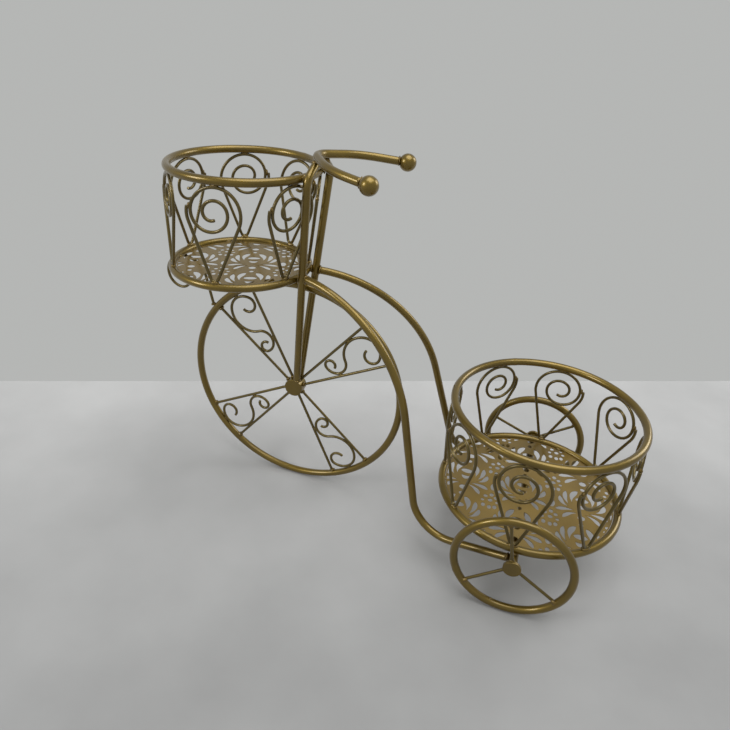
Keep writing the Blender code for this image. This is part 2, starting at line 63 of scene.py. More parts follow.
# %% Name the sizes
TUBE_R = 4.0 * MM
WIRE_R = 1.6 * MM
GAP = 0.3 * MM
FRONT_RIM_R = 125.0 * MM
REAR_RIM_R = 56.0 * MM
WHEELBASE = 274.2 * MM
HALF_TRACK = 108.6 * MM
FRONT_AXLE_Z = FRONT_RIM_R + TUBE_R
REAR_AXLE_Z = REAR_RIM_R + TUBE_R


def middle(node):
    """Middle of a CAD piece's box: half the sum of its two corners."""
    low, high = map(np.array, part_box(node))
    return (low + high) / 2.0


def span(node):
    """Length, width and height of a CAD piece's box."""
    low, high = map(np.array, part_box(node))
    return high - low


WHEEL_X = middle("front_rim")[0]
print("front wheel's centre stands", round(WHEEL_X / MM, 2), "mm from the middle")

# %% [markdown]
# ## Paths
# Every tube and wire on this stand is bent flat: its path lies in one plane. So a path
# is worked out on paper first, as two coordinates, and then stood up in its plane.
# The bends are arcs that meet without a kink, which is what a bending former gives.

# %% Point in a direction
BACK, ACROSS, UP = (1.0, 0.0, 0.0), (0.0, 1.0, 0.0), (0.0, 0.0, 1.0)


def unit(vector):
    """The same direction at length one."""
    vector = np.asarray(vector, float)
    return vector / np.linalg.norm(vector)


def wheel_way(degrees):
    """Direction (cos, 0, sin) of an angle in the wheels' plane."""
    angle = math.radians(degrees)
    return np.array([math.cos(angle), 0.0, math.sin(angle)])


def level_way(degrees):
    """Direction (cos, sin, 0) of an angle seen from above."""
    angle = math.radians(degrees)
    return np.array([math.cos(angle), math.sin(angle), 0.0])


# %% Arcs that follow on from each other
FINE_DEG = 3.0


def polar(centre, radius, angle):
    """Points centre + radius * (cos, sin) of the angles, with one radius or one for each."""
    return np.stack([centre[0] + radius * np.cos(angle), centre[1] + radius * np.sin(angle)], 1)


def arc(centre, radius, start_deg, sweep_deg):
    """Circle points at evenly growing angles, no more than FINE_DEG apart."""
    count = max(2, int(abs(sweep_deg) / FINE_DEG) + 2)
    return polar(centre, radius, np.radians(np.linspace(start_deg, start_deg + sweep_deg, count)))


def bends(steps, heading_deg, start=(0.0, 0.0)):
    """Walk along arcs (radius, sweep) or straights (length, 0) that join smoothly.

    Each arc's centre is one radius to the side of the heading, and the heading turns
    by the sweep, left where it is positive.
    """
    here = np.array(start, float)
    pieces = [here[None, :]]
    for size, sweep in steps:
        way = level_way(heading_deg)[:2]
        if sweep == 0.0:
            pieces.append((here + size * way)[None, :])
        else:
            side = math.copysign(1.0, sweep)
            centre = here + side * size * np.array([-way[1], way[0]])
            pieces.append(arc(centre, size, heading_deg - side * 90.0, sweep)[1:])
        here = pieces[-1][-1]
        heading_deg += sweep
    return np.concatenate(pieces)


def even(path, step):
    """The same path with points one step apart, measured along its length."""
    length = np.concatenate([[0.0], np.cumsum(np.linalg.norm(np.diff(path, axis=0), axis=1))])
    along = np.linspace(0.0, length[-1], max(3, int(length[-1] / step) + 1))
    return np.stack([np.interp(along, length, column) for column in path.T], 1)


# %% [markdown]
# ## A skin round a path
# Tube and wire are the same form at two sizes: a circle carried along a path. Because
# each path is flat, the circle's own axes are easy: one points out of the path's plane
# and stays still, the other points across the path and turns with it. The cut ends are
# rounded over, since the file and the paint leave no sharp edge on the real ones.

# %% Turn a grid of points into a mesh
ENDINGS = {"tube": "skin", "wire": "wire", "sheet": "sheet"}
PIECES = []


def placed(name, data):
    """A new object that holds the data, put in the scene at the origin."""
    made = bpy.data.objects.new(name, data)
    bpy.context.scene.collection.objects.link(made)
    return made


def mesh_from(name, points, faces, body, stock):
    """A smooth mesh piece that rides on a body and will wear its stock's paint."""
    mesh = bpy.data.meshes.new(name)
    mesh.from_pydata(points.tolist(), [], faces)
    mesh.shade_smooth()
    piece = placed(name, mesh)
    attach(piece, body)
    PIECES.append((piece, stock))
    return piece


def outward(points, faces):
    """The same faces, turned over where the solid's signed volume comes out negative."""
    first = np.array([face[:3] for face in faces])
    a, b, c = (points[first[:, k]] for k in range(3))
    volume = np.einsum("ij,ij->i", a, np.cross(b, c)).sum()
    return faces if volume > 0.0 else [face[::-1] for face in faces]


def dress(node, stock, points, faces, body="stand"):
    """A mesh piece that stands for one CAD piece, with its faces turned outwards."""
    faces = outward(points, faces)
    piece = mesh_from(f"{node}_{ENDINGS[stock]}", points, faces, body, stock)
    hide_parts(node)
    return piece


def grid_faces(rows, columns, loop=False):
    """Four-sided faces of a grid that closes round its columns, and its rows on demand."""
    i = np.arange(rows if loop else rows - 1)[:, None]
    j = np.arange(columns)[None, :]
    up, side = (i + 1) % rows, (j + 1) % columns
    corners = [i * columns + j, up * columns + j, up * columns + side, i * columns + side]
    return np.stack(corners, -1).reshape(-1, 4).tolist()


def close_grid(grid):
    """A grid whose two open ends are closed by one point each, as points and faces."""
    rows, columns = grid.shape[:2]
    points = np.concatenate([grid.reshape(-1, 3), grid[:1].mean(1), grid[-1:].mean(1)])
    start, end = rows * columns, rows * columns + 1
    last = (rows - 1) * columns
    fans = [[start, j, (j + 1) % columns] for j in range(columns)]
    fans += [[end, last + (j + 1) % columns, last + j] for j in range(columns)]
    return points, grid_faces(rows, columns) + fans


# %% Carry a circle along a path
STOCK = {"tube": (TUBE_R, 24), "wire": (WIRE_R, 14)}
END_ROUND = 0.35
END_STEPS = np.array([0.0, 0.06, 0.2, 0.42, 0.7])


def tube_grid(path, plane_normal, radius, sides, loop=False):
    """Points path(t) + radius * (cos a * across(t) + sin a * normal) for each t and a.

    across(t) is at right angles to the path inside its plane. At an open end the
    radius shrinks as a quarter circle does, over a third of the tube's radius.
    """
    normal = unit(plane_normal)
    if loop:
        along = np.roll(path, -1, 0) - np.roll(path, 1, 0)
        scale = np.ones(len(path))
    else:
        depth = END_ROUND * radius * np.append(END_STEPS, 1.0)[:, None]
        head = path[0] + depth * unit(path[1] - path[0])
        tail = path[-1] - depth[::-1] * unit(path[-1] - path[-2])
        path = np.concatenate([head, path[1:-1], tail])
        edge = 1.0 - END_ROUND * (1.0 - np.sqrt(1.0 - (1.0 - END_STEPS) ** 2))
        scale = np.concatenate([edge, np.ones(len(path) - 2 * len(edge)), edge[::-1]])
        along = np.gradient(path, axis=0)
    along = along / np.linalg.norm(along, axis=1, keepdims=True)
    across = np.cross(normal, along)
    angle = np.linspace(0.0, math.tau, sides, endpoint=False)
    circle = np.cos(angle)[:, None] * across[:, None] + np.sin(angle)[:, None] * normal
    return path[:, None] + (radius * scale)[:, None, None] * circle


def bent(node, stock, path, normal, step, body="stand"):
    """A finished tube or wire along a flat path, in rings of points one step apart."""
    grid = tube_grid(even(path, step), normal, *STOCK[stock])
    dress(node, stock, *close_grid(grid), body)


# %% [markdown]
# ## Where it is welded
# The stand is held together by more than a hundred short welds, ground a little and
# painted over. Each leaves a lump, and the heat leaves a browner patch in the paint. Every
# step below writes its welds down as it sets its pieces, and the lumps are made at the
# end. Each kind of weld has three half sizes in millimetres: along the joint, across it
# and away from it.

# %% Write down a weld
WELD_SIZES = {
    "fork foot": (4.7, 4.7, 1.3),
    "fork head": (4.6, 4.2, 2.2),
    "fork and ring": (4.6, 2.6, 1.6),
    "grip ball": (4.9, 4.9, 1.1),
    "frame head": (4.9, 4.9, 1.4),
    "frame tail": (4.7, 4.7, 1.3),
    "scroll foot": (4.8, 2.3, 2.8),
    "scroll crest": (4.2, 1.7, 2.2),
    "scroll end": (3.2, 1.9, 1.4),
    "wheel scroll and rim": (2.8, 1.2, 1.6),
    "wheel scroll and wire": (2.6, 1.0, 1.4),
    "front wire and hub": (2.7, 2.7, 1.8),
    "front wire and rim": (3.3, 3.3, 1.7),
    "rear wire and hub": (2.4, 2.3, 2.0),
    "rear wire and rim": (3.6, 2.5, 2.1),
    "burr": (1.8, 1.3, 1.2),
    "axle and ring": (3.4, 4.6, 1.8),
    "brace foot": (2.9, 2.9, 1.4),
    "brace crest": (3.4, 1.2, 2.0),
    "floor tack": (3.6, 1.7, 1.5),
}
ASKEW = (0.31, 0.22, 0.92)
WELDS = []


def weld(centre, along, away, kind, body="stand"):
    """One lump: its middle, its three directions at right angles and its half sizes."""
    away = unit(away)
    along = unit(np.asarray(along, float) - np.dot(along, away) * away)
    directions = np.stack([along, np.cross(away, along), away])
    WELDS.append((body, np.asarray(centre, float), directions, np.array(WELD_SIZES[kind]) * MM))


def collar(centre, axis, kind):
    """A round lump where the end of a tube or wire meets something. It is as wide one way
    as the other, so any direction square to the axis will do for its first one."""
    weld(centre, np.cross(axis, ASKEW), axis, kind)


# %% [markdown]
# ## The rings
# Seven rings of tube make the wheels' rims and the baskets' edges. Each could be a
# ready-made torus, but the carried circle leaves room for the raised seam of weld where
# the real ring was closed.

# %% Bend the rings
SIDES = {"left": -1.0, "right": 1.0}
RING_STEP_DEG = 2.5
SEAM_RISE = 0.25 * MM
SEAM_SPREAD = 2.2 * MM


def ring(node, seam_deg, body="stand", upright=False):
    """Circle of radius R = half the box less the tube, with a raised seam of weld.

    The tube's radius grows by SEAM_RISE * exp(-(distance along the ring / spread)^2).
    """
    centre = middle(node)
    outer = span(node)[0] / 2.0 - TUBE_R
    angle = np.radians(np.arange(0.0, 360.0, RING_STEP_DEG))
    u, v = outer * np.cos(angle), outer * np.sin(angle)
    axis = centre + np.stack([u, 0.0 * u, v] if upright else [u, v, 0.0 * u], 1)
    normal = -np.array(ACROSS) if upright else UP
    grid = tube_grid(axis, normal, *STOCK["tube"], loop=True)
    away = (angle - math.radians(seam_deg) + math.pi) % math.tau - math.pi
    swell = 1.0 + SEAM_RISE / TUBE_R * np.exp(-((away * outer / SEAM_SPREAD) ** 2))
    grid = axis[:, None] + (grid - axis[:, None]) * swell[:, None, None]
    dress(node, "tube", grid.reshape(-1, 3), grid_faces(*grid.shape[:2], loop=True), body)
    return centre, outer


ring("front_rim", 262.0, upright=True)
FRONT_TOP = ring("front_basket_top_ring", 62.0)
FRONT_LOW = ring("front_basket_bottom_ring", 75.0)
REAR_TOP = ring("rear_basket_top_ring", 118.0)
REAR_LOW = ring("rear_basket_bottom_ring", 140.0)
REAR_RIMS = {
    word: ring(f"rear_rim_{word}", 205.0, f"rear_wheel_{word}", upright=True) for word in SIDES
}
print("rings bent:", len(PIECES))

# %% [markdown]
# ## The fork
# Two rods stand on the front hub, spread on their way up past both rings, and turn
# inwards at the top to carry the handlebar. Each is a straight rod with one bend, in a
# plane that leans back a little. The bend's place is worked out in that plane.

# %% Bend the fork rods
FORK_FOOT = (3.5 * MM, 4.4 * MM)
FORK_HEAD_X = 22.7 * MM
FORK_HEAD_Y = {-1.0: 26.4 * MM, 1.0: 29.0 * MM}
FORK_REACH = 224.0 * MM
FORK_BEND = (10.0 * MM, 64.0)
FORK_TIP_RISE = 16.5 * MM
FORK_WELD_RISE = 0.8 * MM
HUB_R = 10.5 * MM
FORK_FOOT_Z = FRONT_AXLE_Z + HUB_R + GAP
TUBE_STEP = 3.0 * MM


def fork_path(side):
    """A straight, one arc and a straight in the leaning plane, side times out, then up."""
    lean = math.atan2(FORK_HEAD_X - FORK_FOOT[0], FORK_REACH)
    reach = FORK_REACH / math.cos(lean)
    run = (FORK_HEAD_Y[side] - FORK_FOOT[1], reach)
    heading = math.degrees(math.atan2(run[1], run[0]))
    flat = bends([(math.hypot(*run), 0.0), FORK_BEND], heading, (FORK_FOOT[1], 0.0))
    tip = level_way(heading + FORK_BEND[1])[:2]
    length = (reach + FORK_TIP_RISE - flat[-1, 1]) / tip[1]
    out, up = np.concatenate([flat, [flat[-1] + length * tip]]).T
    x = WHEEL_X + FORK_FOOT[0] + up * math.sin(lean)
    return np.stack([x, side * out, FORK_FOOT_Z + up * math.cos(lean)], 1), lean


def fork_at(height, side):
    """x and y of one rod's middle at a height, read off its path."""
    path, _ = fork_path(side)
    return np.array([np.interp(height, path[:, 2], path[:, k]) for k in (0, 1)])


for word, side in SIDES.items():
    path, lean = fork_path(side)
    bent(f"fork_rod_{word}", "tube", path, (math.cos(lean), 0.0, -math.sin(lean)), TUBE_STEP)
    rod_way = path[1] - path[0]
    collar(path[0], rod_way, "fork foot")
    weld(path[-1] + (0.0, 0.0, FORK_WELD_RISE), BACK, path[-1] - path[-2], "fork head")
    for centre, radius in (FRONT_TOP, FRONT_LOW):
        spot = np.append(fork_at(centre[2], side), centre[2])
        touch = centre + (radius + TUBE_R) * unit(spot - centre)
        weld(touch, rod_way, touch - centre, "fork and ring")
print("fork rods reach", round(path[-1, 2] / MM, 1), "mm up")

# %% [markdown]
# ## The handlebar
# One tube, closed at the front, with splayed arms that curve back, and a ball on each
# end. It lies in one sloping plane, so it is drawn flat there, one arm at a time, as a
# mirrored copy of the same bends. The right arm's tip is a little longer.

# %% Bend the handlebar and set the balls
BAR_Z = 387.6 * MM
BAR_BENDS = [(17.0 * MM, -37.0), (18.0 * MM, 0.0), (65.0 * MM, -34.5)]
BAR_TIPS = {-1.0: 15.3 * MM, 1.0: 18.5 * MM}
BAR_SLOPE = math.radians(6.3)
BAR_STEP = 2.5 * MM
BALL_R = 8.6 * MM
BALL_ROWS, BALL_COLUMNS = 24, 36
BALL_WELD_IN = 0.2 * MM


def on_bar(flat):
    """Points (u back, v out) of the handlebar's plane, which falls by its slope."""
    u, v = flat.T
    x = WHEEL_X + FORK_HEAD_X + u * math.cos(BAR_SLOPE)
    return np.stack([x, v, BAR_Z - u * math.sin(BAR_SLOPE)], 1)


def ball(node, neck):
    """Sphere point = centre + R * (sin p cos t, sin p sin t, cos p), with its poles
    along the handlebar, so that the fine rings of faces lie where the tube meets it."""
    centre = middle(node)
    axis = unit(centre - neck)
    side = unit(np.cross(axis, UP))
    p = np.linspace(0.0, math.pi, BALL_ROWS + 2)[1:-1, None, None]
    t = np.linspace(0.0, math.tau, BALL_COLUMNS, endpoint=False)[:, None]
    spoke = np.cos(t) * side + np.sin(t) * np.cross(axis, side)
    points, faces = close_grid(centre + BALL_R * (np.sin(p) * spoke - np.cos(p) * axis))
    points[-2:] = centre - BALL_R * axis, centre + BALL_R * axis
    dress(node, "tube", points, faces)
    collar(neck + BALL_WELD_IN * axis, axis, "grip ball")


arms = {}
for side, tip in BAR_TIPS.items():
    arms[side] = bends(BAR_BENDS + [(tip, 0.0)], 90.0) * (1.0, side)
path = on_bar(np.concatenate([arms[-1.0][:0:-1], arms[1.0]]))
bent("handlebar", "tube", path, (math.sin(BAR_SLOPE), 0.0, math.cos(BAR_SLOPE)), BAR_STEP)
for word, side in SIDES.items():
    ball(f"grip_ball_{word}", on_bar(arms[side][-1:])[0])
print("handlebar spans", round(np.ptp(path[:, 1]) / MM, 1), "mm")

# %% [markdown]
# ## The frame tubes
# One tube on each side leaves its fork rod, arches over the wheel, drops steeply, bends
# and runs straight to the rear axle. The two were bent by hand and differ. Seen from the
# side each is an arc, a straight, an arc and a straight; seen from above it is one
# straight line, because the tube only splays. The list for each side holds the arch's
# radius, how far behind and above the front axle its centre lies, the angle where the
# arch ends, and the rise of the last straight.

# %% Bend the frame tubes
FRAME_ARCHES = {
    "left": (136.8 * MM, 10.2 * MM, 4.1 * MM, 11.8, 18.5),
    "right": (154.9 * MM, 0.3 * MM, -15.5 * MM, 16.8, 16.0),
}
RUN_DROP = 2.0 * MM
LOWER_BEND_R = 36.0 * MM
FRAME_INSET = 12.6 * MM
FRAME_WELD_PAST = 0.6 * MM
AXLE_R = 4.5 * MM


def frame_path(side, arch_r, behind, above, end_deg, rise_deg):
    """Arch, leg, bend and run. The leg and the run, carried on, meet at a corner, and
    the bend touches both at radius * tan(half the turn) from it."""
    centre = (behind, FRONT_AXLE_Z + above)
    rod_x, rod_y = fork_at(centre[1] + arch_r, side) * (1.0, side) - (WHEEL_X, 0.0)
    first = rod_x + TUBE_R + 2.0 * GAP
    start_deg = math.degrees(math.acos((first - centre[0]) / arch_r))
    arch = arc(centre, arch_r, start_deg, end_deg - start_deg)
    last = np.array([WHEELBASE - AXLE_R - 5.0 * GAP, REAR_AXLE_Z - RUN_DROP])
    down, rise = math.radians(end_deg - 90.0), math.radians(rise_deg)
    x, z = arch[-1]
    along = (last[1] - z) * math.cos(rise) - (last[0] - x) * math.sin(rise)
    along /= math.sin(down - rise)
    back = LOWER_BEND_R * math.tan((rise - down) / 2.0)
    start = arch[-1] + (along - back) * level_way(end_deg - 90.0)[:2]
    bend = bends([(LOWER_BEND_R, math.degrees(rise - down))], math.degrees(down), start)
    u, w = np.concatenate([arch, bend, last[None]]).T
    splay = (HALF_TRACK - FRAME_INSET - rod_y) / (last[0] - first)
    y = side * (rod_y + (u - first) * splay)
    return np.stack([WHEEL_X + u, y, w], 1), (-side * splay, 1.0, 0.0)


for word, arch_facts in FRAME_ARCHES.items():
    path, normal = frame_path(SIDES[word], *arch_facts)
    bent(f"frame_tube_{word}", "tube", path, normal, TUBE_STEP)
    way = path[-1] - path[-2]
    collar(path[0], path[1] - path[0], "frame head")
    collar(path[-1] + FRAME_WELD_PAST * unit(way), way, "frame tail")
    print(word, "frame tube rises to", round(path[:, 2].max() / MM, 1), "mm")

# %% [markdown]
# ## The basket scrolls
# Fifteen wires of one pattern stand between the rings: a spiral like a watch spring, a
# straight leg, a small round foot, and a short leg that comes back up beside the spiral.
# A spiral could be typed in as points, but a rule is truer: the radius falls from the
# outer turn to the eye, quickly at first and then slowly, as wire does on a former.

# %% Draw one scroll flat
SCROLL_OUTER_R = 27.8 * MM
SCROLL_EYE_R = 6.5 * MM
SCROLL_SWEEP_DEG = 670.0
SCROLL_POWER = 1.15
SCROLL_FOOT_R = 4.0 * MM
SCROLL_END_DEG = 12.0


def curl_radius(turned_deg):
    """Eye radius plus what is left of the opening, to a power."""
    left = np.clip(1.0 - turned_deg / SCROLL_SWEEP_DEG, 0.0, 1.0)
    return SCROLL_EYE_R + (SCROLL_OUTER_R - SCROLL_EYE_R) * left**SCROLL_POWER


def touching_line(low, low_r, high, high_r, side):
    """Direction, in degrees, of the line's normal that touches two circles on a side."""
    run = (high[0] - low[0], high[1] - low[1])
    open_angle = math.acos((low_r - high_r) / math.hypot(*run))
    return math.degrees(math.atan2(run[1], run[0]) + side * open_angle)


def scroll_outline(height, lean):
    """The wire's course, (across, up), from the eye of the spiral to its free end."""
    foot = (0.0, SCROLL_FOOT_R)
    tilt = touching_line(foot, SCROLL_FOOT_R, (lean, height), SCROLL_OUTER_R, 1.0)
    centre = (lean, height - curl_radius(tilt - 90.0))
    left = touching_line(foot, SCROLL_FOOT_R, centre, SCROLL_OUTER_R, 1.0)
    beside = curl_radius(left - SCROLL_END_DEG) + 2.0 * WIRE_R + GAP
    right = touching_line(foot, SCROLL_FOOT_R, centre, beside, -1.0)
    turned = np.arange(0.0, SCROLL_SWEEP_DEG + FINE_DEG, FINE_DEG)
    curl = polar(centre, curl_radius(turned), np.radians(left - turned))
    below = arc(foot, SCROLL_FOOT_R, left, right + 360.0 - left)
    end = arc(centre, beside, right, SCROLL_END_DEG - right)
    return np.concatenate([curl[::-1], below, end])


# %% [markdown]
# ## Scrolls all round
# Each scroll is flat, and its plane leans from the lower ring out to the upper one. They
# were set by eye, so each has an angle of its own, and a curl that leans a little to the
# side of its foot, here in millimetres.

# %% Stand the scrolls round the baskets
CURL_STEP = 1.5 * MM
SCROLL_WELD_IN = 1.9 * MM
FRONT_SCROLLS = (
    (21.5, 4.0), (69.3, 4.0), (116.4, -1.0), (170.8, 1.0),
    (224.0, 4.0), (277.9, 2.5), (335.4, 2.0),
)
REAR_SCROLLS = (
    (-3.3, 4.8), (41.4, 7.4), (86.0, 6.8), (129.8, 5.6),
    (176.8, 6.0), (221.8, 6.0), (266.2, 4.8), (311.0, 4.6),
)


def scroll_set(label, scrolls, top, low):
    """A point's radius and its height both run, from ring to ring, with its share of the
    scroll's height."""
    (top_c, top_r), (low_c, low_r) = top, low
    floor_z = low_c[2] + TUBE_R + WIRE_R
    rise = top_c[2] - TUBE_R - WIRE_R - floor_z
    for k, (degrees, lean) in enumerate(scrolls, 1):
        outline = scroll_outline(rise, lean * MM)
        share = outline[:, 1] / outline[:, 1].max()
        out = level_way(degrees)
        across = np.array([out[1], -out[0], 0.0])
        path = (low_r + share * (top_r - low_r))[:, None] * out + outline[:, :1] * across
        path[:, 0] += low_c[0] + share * (top_c[0] - low_c[0])
        path[:, 2] = floor_z + share * rise
        slant = out * (top_r - low_r) + (top_c[0] - low_c[0], 0.0, rise)
        bent(f"{label}_{k}", "wire", path, np.cross(across, slant), CURL_STEP)
        foot, crest = path[share.argmin()], path[share.argmax()]
        weld(foot - (0.0, 0.0, WIRE_R), across, out, "scroll foot")
        weld(crest + (0.0, 0.0, WIRE_R), across, out, "scroll crest")
        weld(path[-1] - SCROLL_WELD_IN * across, slant, across, "scroll end")


scroll_set("front_basket_scroll", FRONT_SCROLLS, FRONT_TOP, FRONT_LOW)
scroll_set("rear_basket_scroll", REAR_SCROLLS, REAR_TOP, REAR_LOW)
print("pieces so far:", len(PIECES))

# %% [markdown]
# ## The wheels' wires
# The front wheel has four narrow wedges of two wires each, with an S-shaped scroll in
# each wedge. The rear wheels have three plain wires each. A wire is the carried circle
# once more, along a straight line. The scroll's bends are shares of the rim's radius, so
# that it grows with the wheel.

# %% Set the front wheel's wires
WEDGES_DEG = (38.3, 127.3, 218.8, 306.0)
WEDGE_AT_HUB = 3.5 * MM
WEDGE_AT_RIM = 25.0 * MM
WHEEL_SCROLL_SHARES = (
    (0.069, 203.0), (0.143, 110.0), (0.189, 111.0), (0.102, -170.0), (0.047, -240.0),
)
WHEEL_SCROLL_DEG = 192.5
WHEEL_SCROLL_DROP = 0.001 * FRONT_RIM_R
STRAIGHT_STEP = 4.0 * MM
WHEEL_AT = np.array([WHEEL_X, 0.0, FRONT_AXLE_Z])
inside = FRONT_RIM_R - TUBE_R
scroll_bends = [(share * FRONT_RIM_R, sweep) for share, sweep in WHEEL_SCROLL_SHARES]
curl = bends(scroll_bends, WHEEL_SCROLL_DEG)
curl = curl + (inside - WIRE_R - GAP - curl[:, 0].max(), -WHEEL_SCROLL_DROP)
start = math.sqrt(HUB_R**2 - (WEDGE_AT_HUB - WIRE_R) ** 2) + GAP
end = math.sqrt((inside - GAP) ** 2 - (WEDGE_AT_RIM + WIRE_R) ** 2)
for k, degrees in enumerate(WEDGES_DEG, 1):
    out = wheel_way(degrees)
    turned = np.array([out, (-out[2], 0.0, out[0])])
    course = curl @ turned + WHEEL_AT
    bent(f"front_wheel_scroll_{k}", "wire", course, ACROSS, CURL_STEP)
    spot = course[curl[:, 0].argmax()] + WIRE_R * out
    weld(spot, turned[1], ACROSS, "wheel scroll and rim")
    for word, side in (("a", 1.0), ("b", -1.0)):
        line = np.array([(start, side * WEDGE_AT_HUB), (end, side * WEDGE_AT_RIM)])
        line = line @ turned + WHEEL_AT
        bent(f"front_spoke_{k}{word}", "wire", line, ACROSS, STRAIGHT_STEP)
        way = unit(line[1] - line[0])
        collar(line[0], way, "front wire and hub")
        collar(line[1], way, "front wire and rim")
        along = (course - line[0]) @ way
        apart = np.linalg.norm(course - line[0] - along[:, None] * way, axis=1)
        near = apart.argmin()
        spot = 0.5 * (course[near] + line[0] + along[near] * way)
        weld(spot, way, ACROSS, "wheel scroll and wire")
print("pieces so far:", len(PIECES))

# %% Set the rear wheels' wires
REAR_HUB_R = 8.8 * MM
BOSS_R = 5.4 * MM
REAR_WIRES_DEG = {"left": (101.0, -32.0, -140.0), "right": (159.5, 36.0, -82.0)}
HUB_WELD_IN, RIM_WELD_OUT, RIM_WELD_ASIDE = 0.6 * MM, 1.3 * MM, 1.6 * MM
BURR_DEG, BURR_IN = 257.0, 0.2 * MM
for word, angles in REAR_WIRES_DEG.items():
    body, centre = f"rear_wheel_{word}", REAR_RIMS[word][0]
    outer_side = SIDES[word] * np.array(ACROSS)
    for k, degrees in enumerate(angles, 1):
        way = wheel_way(degrees)
        line = centre + np.array([[BOSS_R - GAP], [REAR_RIM_R - TUBE_R - GAP]]) * way
        bent(f"rear_spoke_{word}_{k}", "wire", line, ACROSS, STRAIGHT_STEP, body)
        spot = centre + (REAR_HUB_R - HUB_WELD_IN) * way
        weld(spot, way, ACROSS, "rear wire and hub", body)
        spot = line[1] + RIM_WELD_OUT * way + RIM_WELD_ASIDE * outer_side
        weld(spot, way, outer_side, "rear wire and rim", body)
way = wheel_way(BURR_DEG)
spot = REAR_RIMS["left"][0] + (REAR_RIM_R - TUBE_R - BURR_IN) * way
weld(spot, np.cross(way, ACROSS), way, "burr", "rear_wheel_left")
print("pieces so far:", len(PIECES))

# %% [markdown]
# ## Hubs and axle
# The hubs are discs of bar, each rear one with a narrow boss behind its cap, and the axle
# is a rod with a thinner journal at each end. All are turned: a profile goes round an
# axis. The profile's corners are rounded, because a dead sharp edge would show no light,
# and paint never leaves one.

# %% Turn the hubs and the axle
TURN_SIDES = 40
EDGE_R = 0.5 * MM
DISC_STATIONS = (0.0, 0.5, 0.88, 1.0)
CAP_T = 3.4 * MM
JOURNAL_R, JOURNAL = 3.0 * MM, 5.0 * MM


def rounded(profile, radius):
    """Each inner corner of (r, y) points swapped for two points and two middle ones that
    lie on the curve (1-s)^2 A + 2 s (1-s) corner + s^2 B."""
    s = np.linspace(0.0, 1.0, 4)[:, None]
    profile = np.array(profile, float)
    pieces = [profile[:1]]
    for before, corner, after in zip(profile, profile[1:], profile[2:]):
        a, b = (
            corner + (end - corner) * min(0.5, radius / np.linalg.norm(end - corner))
            for end in (before, after)
        )
        pieces.append((1 - s) ** 2 * a + 2 * s * (1 - s) * corner + s**2 * b)
    return np.concatenate(pieces + [profile[-1:]])


def turned_piece(node, profile, body="stand"):
    """Point = centre + (r cos t, y, r sin t) for each profile point and angle t."""
    r, y = rounded(profile, EDGE_R)[1:-1].T[:, :, None]
    t = np.linspace(0.0, math.tau, TURN_SIDES, endpoint=False)
    grid = np.stack([r * np.cos(t), y + 0.0 * t, r * np.sin(t)], -1) + middle(node)
    dress(node, "tube", *close_grid(grid), body)


def disc(radius, half):
    """Profile of a disc: middle of one face, out, across and back to the middle. Two more
    stations on each face keep it flat to the eye, right up to its rounded edge."""
    face = [(share * radius, half) for share in DISC_STATIONS]
    return face + [(r, -y) for r, y in face[::-1]]


turned_piece("front_hub", disc(HUB_R, span("front_hub")[1] / 2.0))
for word, outer_side in SIDES.items():
    half = span(f"rear_hub_{word}")[1] / 2.0
    step = half - CAP_T
    profile = disc(REAR_HUB_R, half)[:4] + [(REAR_HUB_R, step), (BOSS_R, step)]
    profile += [(BOSS_R, -half), (0.5 * BOSS_R, -half), (0.0, -half)]
    profile = [(r, outer_side * y) for r, y in profile]
    turned_piece(f"rear_hub_{word}", profile, f"rear_wheel_{word}")
tip = span("rear_axle")[1] / 2.0
profile = [(0.0, tip), (JOURNAL_R, tip), (JOURNAL_R, tip - JOURNAL), (AXLE_R, tip - JOURNAL)]
turned_piece("rear_axle", profile + [(r, -y) for r, y in profile[::-1]])
centre = middle("rear_axle")
reach = math.sqrt(REAR_LOW[1] ** 2 - (centre[0] - REAR_LOW[0][0]) ** 2)
for side in SIDES.values():
    weld(centre + (0.0, side * reach, AXLE_R), BACK, UP, "axle and ring")
print("the axle is", round(2.0 * tip / MM, 1), "mm long")

# %% [markdown]
# ## The brace
# A single curl of wire stands on the front rim and carries the basket above it. It is the
# one wire with an even spiral, which draws in by the same pitch on each turn.

# %% Bend the brace
BRACE_R = 30.3 * MM
BRACE_PITCH = 23.5 * MM
BRACE_TURNS = 1.15
BRACE_AHEAD = 4.2 * MM
BRACE_FOOT_DEG = 141.0
BRACE_FOOT_OFF = GAP + 0.6 * WIRE_R


def brace_path():
    """A foot on the rim, then a spiral whose radius falls by one pitch each turn."""
    ahead = FRONT_LOW[0][0] - FRONT_LOW[1] - BRACE_AHEAD
    turn = np.linspace(0.0, BRACE_TURNS, int(BRACE_TURNS * 360.0 / FINE_DEG))
    curl = polar((ahead, 0.0), BRACE_R - BRACE_PITCH * turn, math.tau * turn)
    curl[:, 1] += FRONT_LOW[0][2] - TUBE_R - WIRE_R + GAP - curl[:, 1].max()
    foot = WHEEL_AT + (FRONT_RIM_R + TUBE_R + BRACE_FOOT_OFF) * wheel_way(BRACE_FOOT_DEG)
    x, z = np.concatenate([[foot[[0, 2]]], curl]).T
    return np.stack([x, 0.0 * x, z], 1)


path = brace_path()
bent("scroll_brace", "wire", path, ACROSS, CURL_STEP)
collar(path[0], path[1] - path[0], "brace foot")
crest = path[path[:, 2].argmax()]
weld(crest + (0.0, 0.0, WIRE_R), BACK, ACROSS, "brace crest")
print("the brace touches the basket", round(crest[2] / MM, 1), "mm up")

